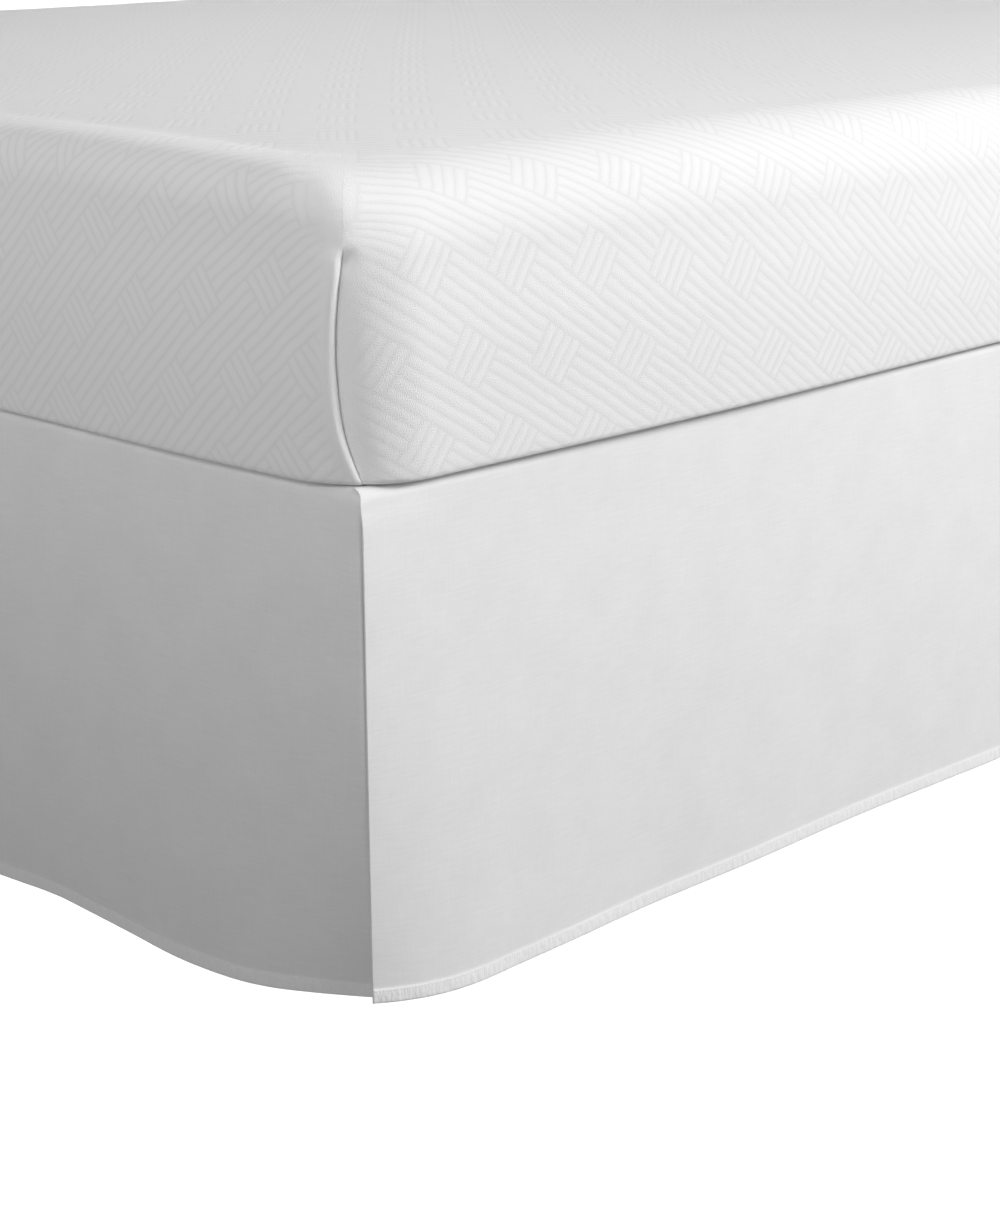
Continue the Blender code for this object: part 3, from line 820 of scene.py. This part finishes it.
def deck():
    """The flat sheet between the panels' turned-in strips."""
    strip_edge = ROLL - HANG_CLEAR + TURN_IN + GAP
    x, y, head = HALF_WIDTH - strip_edge, HALF_LENGTH - strip_edge, HALF_LENGTH - BASE_TOP_EDGE
    turns = [QUARTER_TURN * i / DECK_CORNER_STEPS for i in range(DECK_CORNER_STEPS + 1)]
    right = [(x - DECK_CORNER * (1 - sin(t)), -y + DECK_CORNER * (1 - cos(t))) for t in turns] + [(x, head)]
    outline = right + [(-px, py) for px, py in reversed(right)]
    bm = bmesh.new()
    face = bm.faces.new([bm.verts.new((px, py, DECK_HEIGHT + CLOTH)) for px, py in outline])
    face.normal_update()
    if face.normal.z < 0:
        bmesh.ops.reverse_faces(bm, faces=[face])
    piece = add_piece("deck_sheet", bm, DECK_COTTON)
    thicken(piece, PANEL_THICK)
    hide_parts("deck")
    return piece


print("deck:", tuple(round(side, 3) for side in deck().dimensions))

# %% [markdown]
# ## The mattress
#
# A mattress in a fitted cover is one filled form: a small round at the bottom edge, a slightly full side, a wide
# round at the top, and a low crown. It is made of rings, one above the other: the rows of a grid are sent to them,
# and its two ends are merged. At each foot corner the spare cloth is pinched into one upright fold, which a small
# profile draws across the rings.

# %% The rings of the mattress
MATTRESS_HEIGHT = 0.200
CROWN_HEIGHT = 0.014
SAG, SAG_REACH = 0.004, 0.20  # of the top's corners
TOP_ROUND = 0.060
BOTTOM_ROUND = 0.005
CORNER_ROUND = 0.060
OVERHANG = 0.012  # past the base's side
BULGE = 0.002  # how full the side is
CROWN_WIDEN = 0.3  # inside the side a ring's corner widens by this share of its inset
# How the sides bow out. Columns: the axis that the sides run along, 0 for X and 1 for Y, where on it, how wide, how
# far out.
BOWS = ((1, -0.66, 0.26, 0.007), (1, 0.5, 0.3, 0.003), (0, 0.6, 0.12, 0.004), (0, -0.3, 0.25, 0.002))
# The crown. Columns: how far in from the base's face, its share of the full height.
CROWN = ((0.048, 0.0), (0.11, 0.4), (0.23, 0.75), (0.36, 0.94), (0.5, 1.0))
CROWN_INSETS = (0.056, 0.066, 0.08, 0.1, 0.125, 0.155, 0.19, 0.23, 0.275, 0.325, 0.38, 0.44, 0.5)
# In how many parts the bottom edge, the side and the top edge are divided, and which of the parts have rings: they
# lie closest where the fold ends.
BOTTOM_PARTS, WALL_PARTS, ROUND_PARTS = 5, 22, 16
WALL_STEPS = (*range(1, 18), 17.5, 18, 18.5, 19, 19.5, 20, 20.4, 20.8, 21.2, 21.6)
ROUND_STEPS = (0, 0.4, 0.8, 1.2, 1.6, 2, 2.5, 3, 3.5, *range(4, 17))
Ring = collections.namedtuple("Ring", "out up radius climb turn core_x core_y")


def mattress_rings():
    """The rings from below to the flat of the top. climb is how far up the cover a ring lies from the first, turn
    how far over the round top edge, core the middle of its corner's round."""
    side, low, high = OVERHANG, BOTTOM_ROUND, TOP_ROUND
    shoulder = MATTRESS_HEIGHT - high
    profile = []
    for i in range(BOTTOM_PARTS + 1):
        turn = QUARTER_TURN * i / BOTTOM_PARTS
        profile.append((side - low + low * sin(turn), low * (1 - cos(turn)), 0.0))
    for i in WALL_STEPS:
        share = i / WALL_PARTS
        profile.append((side + BULGE * sin(pi * share), mix(low, shoulder, share), 0.0))
    for i in ROUND_STEPS:
        turn = QUARTER_TURN * i / ROUND_PARTS
        profile.append((side - high * (1 - cos(turn)), shoulder + high * sin(turn), turn))
    for inset in CROWN_INSETS:
        profile.append((-inset, MATTRESS_HEIGHT + CROWN_HEIGHT * along_curve(CROWN, inset), QUARTER_TURN))
    rings, climb = [], 0.0
    for (out, up, turn), (last_out, last_up, _) in zip(profile, profile[:1] + profile[:-1]):
        climb += hypot(out - last_out, up - last_up)
        radius = CORNER_ROUND + CROWN_WIDEN * max(0.0, side - out)
        rings.append(Ring(out, up, radius, climb, turn, HALF_WIDTH + out - radius, HALF_LENGTH + out - radius))
    return rings


RINGS = mattress_rings()
ROUND_INSET = TOP_ROUND - OVERHANG  # where the round top edge ends, in from the base's face
TOP_EDGE = next(ring.climb for ring in RINGS if ring.up >= MATTRESS_HEIGHT - GAP)
print(f"{len(RINGS)} rings, {TOP_EDGE:.4f} m up the cover to the top's edge")

# %% The pinched fold at a foot corner
# Where it runs. Columns: height above the underside, degrees round the corner from the foot face, its depth.
FOLD_LINE = (
    (0.000, 46.0, 0.4), (0.016, 40.3, 0.8), (0.038, 34.2, 1.0), (0.075, 31.2, 1.0), (0.0985, 32.0, 1.0),
    (0.1195, 34.0, 1.0), (0.1307, 35.4, 1.0), (0.137, 36.1, 1.0), (0.1442, 36.7, 0.9), (0.1478, 37.3, 0.55),
    (0.1514, 38.0, 0.0), (0.3, 41.0, 0.0),
)
# Across it. Columns: degrees from its line towards the side, how far out the cover stands.
FOLD_SHAPE = (
    (-15.0, 0.0), (-11.0, 0.0004), (-8.0, 0.0013), (-6.0, 0.0022), (-4.5, 0.0027), (-3.2, 0.0028), (-2.0, 0.0024),
    (-1.1, 0.0015), (-0.5, 0.0006), (-0.15, -0.0003), (0.05, -0.0014), (0.25, -0.0026), (0.45, -0.0033),
    (0.7, -0.0028), (1.1, -0.0022), (3.0, -0.0018), (7.0, -0.0012), (12.0, -0.0005), (18.0, 0.0),
)
FOLD_COLUMNS = (-15, -13, -11, -9.5, -8, -6.9, -6, -5.2, -4.5, -3.8, -3.2, -2.6, -2, -1.5, -1.1, -0.8, -0.5, -0.3)
FOLD_COLUMNS += (-0.15, -0.05, 0.05, 0.15, 0.25, 0.35, 0.45, 0.57, 0.7, 0.9, 1.1, 1.6, 2.3, 3, 4.2, 5.6, 7, 9, 12)
FOLD_COLUMNS += (15, 18)
FOLD_EDGE = 0.0  # degrees across the fold at which one face's cloth ends and the other's begins
# How the cover is drawn tight about the fold's upper end, where the corner is pointed and has a dimple beside it.
# Columns: how far round from the fold towards the side, how far up the cover, half its width, half its height, how
# far out, all in metres.
CORNER_FORM = (
    (-0.002, 0.155, 0.014, 0.055, 0.0068),
    (0.012, 0.148, 0.03, 0.055, 0.005),
    (0.0034, 0.1463, 0.0034, 0.0065, -0.0024),
)
SEAM_DEGREES = 45.0  # at the head corners the cover has a plain seam in the middle
HEAD_TURNS, BEFORE_FOLD, AFTER_FOLD = 16, 3, 6  # even steps round a head corner, and beside a foot corner's fold


def corner_turns(at_foot, up):
    """(degrees round a corner from the foot or head face, how far out, whether past the fold or seam) for each
    column round the corner."""
    if not at_foot:
        turns = [90.0 * i / HEAD_TURNS for i in range(HEAD_TURNS + 1)]
        return [(degrees, 0.0, degrees >= SEAM_DEGREES) for degrees in turns]
    line, depth = along_curve(FOLD_LINE, up, 1), along_curve(FOLD_LINE, up, 2)
    first, last = line + FOLD_COLUMNS[0], line + FOLD_COLUMNS[-1]
    before = [(first * i / BEFORE_FOLD, 0.0, False) for i in range(BEFORE_FOLD)]
    fold = [(line + to, along_curve(FOLD_SHAPE, to) * depth, to >= FOLD_EDGE) for to in FOLD_COLUMNS]
    after = [(mix(last, 90.0, i / AFTER_FOLD), 0.0, True) for i in range(1, AFTER_FOLD + 1)]
    return before + fold + after


# %% [markdown]
# ## Counting ribs on the cover
#
# The cover was woven flat, so its ribs are counted in the flat cloth. Each vertex has a place there: how far up
# and over the cover it lies from the right side's lower edge, and from the foot's. Up a wall that is the climb, on
# the top it is the plain distance. Pulled over the corner, the cloth lies skewed: on the foot face the ribs stand
# steeper than on the long side, and across the top the one skew changes slowly into the other.

# %% From a place in the flat cover to ribs
BASE_SIDE = TOP_EDGE - ROUND_INSET  # the place of the base's side in the flat cover, from the cover's lower edge
PLAN_X, PLAN_Y = BASE_SIDE + HALF_WIDTH, BASE_SIDE + HALF_LENGTH  # and of the bed's middle
# One rib along and one rib across, in millimetres in the flat cover: (up the side or along the foot, up).
SIDE_RIBS = ((7.125, -3.56), (4.75, 7.10))
FOOT_RIBS = ((5.25, 5.00), (-4.95, 6.20))
SIDE_BLOCK = (0.084, 0.0758)  # the middle of one block on the long side: along it from the foot, and up
FOOT_BLOCK = (0.1535, 0.0478)  # and of one on the foot face: along it from the long side, and up
FOOT_LATTICE = (-40.0, 4.0)  # whole blocks, so that the two counts agree near the corner
SIDE_STRETCH, STRETCH_RUN = 0.0075, 0.08  # how much the long side's cloth is stretched upwards above the block
DRIFT, DRIFT_GROWS, DRIFT_END = 0.075, 0.09, 0.70  # how steeply its ribs sink, what that gains, and until where


def drift(along):
    """How far the ribs on the long side have sunk at this distance from the foot."""
    near = min(along, DRIFT_END)
    return DRIFT * along + DRIFT_GROWS * near * (2 * along - near)


def count_ribs(ribs, right, up):
    """Ribs along and across at a place that is right and up of a block's middle, in metres."""
    (ax, ay), (bx, by) = ribs
    turned = ax * by - ay * bx
    along = 1000 * (by * right - bx * up) / turned
    across = 1000 * (ax * up - ay * right) / turned
    return along + BLOCK / 2, across + BLOCK / 2


def side_and_foot_ribs(from_side, from_foot):
    """The count of ribs at a place in the flat cover, as each of the two skews has it."""
    along, across = from_foot - BASE_SIDE, from_side - BASE_SIDE
    up = from_side + drift(along) - SIDE_BLOCK[1] - drift(SIDE_BLOCK[0])
    up -= SIDE_STRETCH * ease((from_side - SIDE_BLOCK[1]) / STRETCH_RUN)
    side = count_ribs(SIDE_RIBS, along - SIDE_BLOCK[0], up)
    foot = count_ribs(FOOT_RIBS, FOOT_BLOCK[0] - across, from_foot - FOOT_BLOCK[1])
    return Vector(side), Vector(foot) + Vector(FOOT_LATTICE)


CORNER_SIDE, CORNER_FOOT = side_and_foot_ribs(TOP_EDGE, TOP_EDGE)
AGREE_REACH = 0.11  # within this of the corner the foot's count is drawn to the side's


def ribs_at(from_side, from_foot, on_foot):
    """The count of ribs there. on_foot is how much the foot face's skew holds."""
    side, foot = side_and_foot_ribs(from_side, from_foot)
    away = hypot(from_side - TOP_EDGE, from_foot - TOP_EDGE) / AGREE_REACH
    foot += (CORNER_SIDE - CORNER_FOOT) * bell(away)
    return side.lerp(foot, on_foot)


def foot_share(from_side, from_foot):
    """How much the foot face's skew holds at a place on the top: all of it at the foot, none at the side."""
    over_side, over_foot = max(0.0, from_side - TOP_EDGE), max(0.0, from_foot - TOP_EDGE)
    return ease(atan2(over_side, over_foot) / QUARTER_TURN) if over_side + over_foot > 0 else 0.5


# %% Where a vertex of the cover lies in the flat cover
HOOK = 0.150  # how far up the cover the pinched fold ends
HOOK_BLEND = 0.030
# x and y are the plain place on the ring, angle the turn from the foot or head face, corner the corner's signs.
Spot = collections.namedtuple("Spot", "ring x y angle corner far")


def place_on_wall(wall, spot):
    """Where a spot lies in the flat cover, as seen from the wall that a face at it is on: its place, from the right
    side's lower edge and from the foot's, and how much the foot face's skew holds."""
    ring = spot.ring
    plan = (PLAN_X - spot.x, PLAN_Y + spot.y)
    if ring.climb >= TOP_EDGE - GAP:
        return plan, foot_share(*plan)
    x, y = spot.x, spot.y
    if spot.corner is not None:
        # Round the corner the cloth's path is an arc, which is laid out straight from the wall's end.
        across, along = spot.corner
        x = across * (ring.core_x + ring.radius * spot.angle)
        y = along * (ring.core_y + ring.radius * (QUARTER_TURN - spot.angle))
    place = {
        "right": (ring.climb, PLAN_Y + y),
        "left": (2 * PLAN_X - ring.climb, PLAN_Y + y),
        "foot": (PLAN_X - x, ring.climb),
        "head": (PLAN_X - x, 2 * PLAN_Y - ring.climb),
    }[wall]
    share = {"right": 0.0, "foot": 1.0}.get(wall, foot_share(*place))
    if spot.corner is None:
        return place, share
    over = ease((ring.climb - HOOK) / HOOK_BLEND)
    # Over the round edge the cloth's path is longer than the plan by this much.
    longer = ring.climb - BASE_SIDE + ring.out
    level = (plan[0] + across * longer * sin(spot.angle), plan[1] - along * longer * cos(spot.angle))
    place = (mix(place[0], level[0], over), mix(place[1], level[1], over))
    turned = 1 - ease(spot.angle / QUARTER_TURN) if spot.corner == (1, -1) else foot_share(*plan)
    return place, mix(share, turned, over)


# %% Round one ring
# The corners in the order of the walk, by the signs of their X and Y, the wall after each, and its steps.
CORNERS = ((1, 1, "head", 60), (-1, 1, "left", 80), (-1, -1, "foot", 60), (1, -1, "right", 80))


def turn_corner(ring, across, along):
    """The spots round one corner, anticlockwise, and the walls between them."""
    turns = corner_turns(along < 0, ring.up)
    backwards = across * along > 0
    if backwards:
        turns.reverse()
    spots = []
    for degrees, far, _ in turns:
        angle = radians(degrees)
        x = across * (ring.core_x + ring.radius * sin(angle))
        y = along * (ring.core_y + ring.radius * cos(angle))
        spots.append(Spot(ring, x, y, angle, (across, along), far))
    face_wall, side_wall = "foot" if along < 0 else "head", "right" if across > 0 else "left"
    shown = turns[1:] if backwards else turns[:-1]
    return spots, [side_wall if past else face_wall for _, _, past in shown]


def walk_ring(ring):
    """The spots of a ring, anticlockwise from its +X side at the head, and the wall that follows each."""
    corners = [turn_corner(ring, *corner[:2]) for corner in CORNERS]
    spots, walls = [], []
    for (_, _, wall, steps), (here, here_walls), (following, _) in zip(CORNERS, corners, corners[1:] + corners[:1]):
        start, stop = (Vector((spot.x, spot.y)) for spot in (here[-1], following[0]))
        spots += here + [Spot(ring, *start.lerp(stop, i / steps), 0.0, None, 0.0) for i in range(1, steps)]
        walls += here_walls + [wall] * steps
    return spots, walls


# %% Where a spot stands, and how deep the ribs are there
COVER_WAVES = ((0.26, 0.0012), (0.09, 0.0005))  # how wide, how far out
COVER_WAVES_RUN = 0.05  # how far up from the lower edge they come to their size
COVER_SEED = 83.0
EDGE_TIGHT = 0.9  # at the foot the top edge is this much of the way to half as round
EDGE_TIGHT_END = radians(85)  # which is gone this far round the corner


def outward(spot):
    """The level direction straight out from a spot, and how far round from the fold at its foot corner it lies."""
    ring = spot.ring
    line = radians(along_curve(FOLD_LINE, ring.up, 1))
    if spot.corner is not None:
        out = Vector((spot.corner[0] * sin(spot.angle), spot.corner[1] * cos(spot.angle), 0))
        return out, ring.radius * (spot.angle - line) if spot.corner[1] < 0 else inf
    if abs(spot.x) > ring.core_x + ring.radius - GAP:
        return Vector((copysign(1, spot.x), 0, 0)), ring.radius * (QUARTER_TURN - line) + spot.y + ring.core_y
    around = -ring.radius * line - ring.core_x + abs(spot.x)
    return Vector((0, copysign(1, spot.y), 0)), around if spot.y < 0 else inf


def squared(turn):
    """How much further out and up a ring lies where the top edge is only half as round."""
    tight = QUARTER_TURN * clamp(3 * turn / QUARTER_TURN - 1)
    more = []
    for wave, flat in ((cos, 3 * turn > 2 * QUARTER_TURN), (sin, 3 * turn < QUARTER_TURN)):
        full = TOP_ROUND * (1 - wave(turn))
        more.append(full - max(TOP_ROUND / 2 * (1 - wave(tight)), full if flat else 0.0))
    return more


def stand(spot):
    """The place in space of a spot on a ring."""
    ring = spot.ring
    out_way, around = outward(spot)
    at_foot = EDGE_TIGHT * (1 - ease(asin(min(1.0, abs(out_way.x))) / EDGE_TIGHT_END)) * (out_way.y < 0)
    more_out, more_up = squared(ring.turn)
    far = spot.far + more_out * at_foot
    for beside, climb, wide, tall, out in CORNER_FORM:
        far += out * bell((around - beside) / wide) * bell((ring.climb - climb) / tall)
    here = Vector((spot.x, spot.y, ring.up + more_up * at_foot)) + out_way * far
    for axis, at, wide, far in BOWS:
        beyond = here[1 - axis]
        share = ease((abs(beyond) - (HALF_WIDTH, HALF_LENGTH)[1 - axis] + TOP_ROUND) / TOP_ROUND)
        here[1 - axis] += far * bell((here[axis] - at) / wide) * share * copysign(1, beyond)
    away = hypot(HALF_WIDTH - abs(here.x), HALF_LENGTH - abs(here.y))
    sag = (ring.up / MATTRESS_HEIGHT) ** 3 * bell(away / SAG_REACH)
    here.z += MATTRESS_BOTTOM - SAG * sag
    return here


# Beside the fold. Rows: at it and above it. Columns: how far from it the ribs are flat, from where they are whole.
LEFT_CALM = ((0.004, 0.016), (0.004, 0.034))
RIGHT_CALM = ((0.006, 0.022), (0.001, 0.010))
ABOVE_FROM, ABOVE_RUN = HOOK - 0.01, 0.03  # up the cover: where the second row comes in, and how soon
CALM_FADE = 0.05  # how far over the top's edge the cover is still pulled smooth


def rib_depth(spot):
    """1 where the ribs stand up fully, 0 where the cover is pulled smooth, along the fold and above it."""
    if spot.corner is None or spot.corner[1] > 0:
        return 1.0
    aside = outward(spot)[1]
    above = ease((spot.ring.climb - ABOVE_FROM) / ABOVE_RUN)
    calm = RIGHT_CALM if aside > 0 else LEFT_CALM
    flat, whole = (mix(at_fold, higher, above) for at_fold, higher in zip(*calm))
    smooth = 1 - ease((abs(aside) - flat) / (whole - flat))
    return 1 - smooth * (1 - ease((spot.ring.climb - TOP_EDGE) / CALM_FADE))


# %% Make the mattress
MIDDLE_CUTS = 9


def cut_middle(bm, top):
    """Cuts the one large face in the middle of the top into a grid."""
    faces = [top]
    for axis, half in ((Vector((1, 0, 0)), HALF_WIDTH), (Vector((0, 1, 0)), HALF_LENGTH)):
        for i in range(1, MIDDLE_CUTS + 1):
            at = axis * mix(-half, half, i / (MIDDLE_CUTS + 1)) * 0.5
            parts = set(faces)
            for face in faces:
                parts.update(face.edges, face.verts)
            done = bmesh.ops.bisect_plane(bm, geom=list(parts), dist=GAP, plane_co=at, plane_no=axis)
            faces = [part for part in done["geom"] if isinstance(part, bmesh.types.BMFace)]


def mattress():
    walks = [walk_ring(ring) for ring in RINGS]
    columns = len(walks[0][0])
    bm = bmesh.new()
    bmesh.ops.create_grid(bm, x_segments=columns, y_segments=len(RINGS) - 1, size=0.5)
    relief = bm.verts.layers.float.new("relief")
    walls = {face: walks[0][1][int((face.calc_center_median().x + 0.5) * columns)] for face in bm.faces}
    spots = {}
    for vertex in bm.verts:
        ring = round((vertex.co.y + 0.5) * (len(RINGS) - 1))
        spots[vertex] = walks[ring][0][round((vertex.co.x + 0.5) * columns) % columns]
    for vertex, spot in spots.items():
        vertex.co = stand(spot)
        vertex[relief] = rib_depth(spot)
    bmesh.ops.remove_doubles(bm, verts=bm.verts, dist=GAP / 10)
    bmesh.ops.holes_fill(bm, edges=[edge for edge in bm.edges if edge.is_boundary], sides=0)
    cut_middle(bm, max(bm.faces, key=lambda face: face.calc_area() + face.calc_center_median().z))
    for vertex in bm.verts:
        if vertex not in spots:
            vertex[relief] = 1.0
    bmesh.ops.recalc_face_normals(bm, faces=bm.faces)

    def place_of(corner):
        spot = spots.get(corner.vert)
        if spot is None:
            plan = (PLAN_X - corner.vert.co.x, PLAN_Y + corner.vert.co.y)
            return ribs_at(*plan, foot_share(*plan))
        place, share = place_on_wall(walls.get(corner.face, "right"), spot)
        return ribs_at(*place, share)

    keep_flat_place(bm, "ribs", place_of)
    bm.normal_update()
    for vertex in bm.verts:
        place, out = vertex.co, 0.0
        for wide, far in COVER_WAVES:
            out += far * noise.noise((place.x / wide, place.y / wide, place.z / wide + COVER_SEED))
        vertex.co += vertex.normal * out * ease((place.z - MATTRESS_BOTTOM) / COVER_WAVES_RUN)
    return add_piece("mattress_in_cover", bm, COVER)


padded_mattress = mattress()
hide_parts("mattress")
print(f"mattress: {len(padded_mattress.data.polygons)} faces")

# %% [markdown]
# ## The base and the legs
#
# The real base is a frame with springs under ticking, on wooden legs, and the skirt hides all of it. It could be
# modelled again with its seams and piping, but its plain solids are right for what shows at the open head end, so
# only their material slots are filled.

# %% Finish the base and the legs
for node_name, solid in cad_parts.items():
    finish = TICKING if node_name == "bed_base" else LEG_WOOD if node_name.startswith("leg_") else None
    if finish is not None:
        for place in solid.material_slots:
            place.material = finish
        print(node_name, "gets", finish.name)
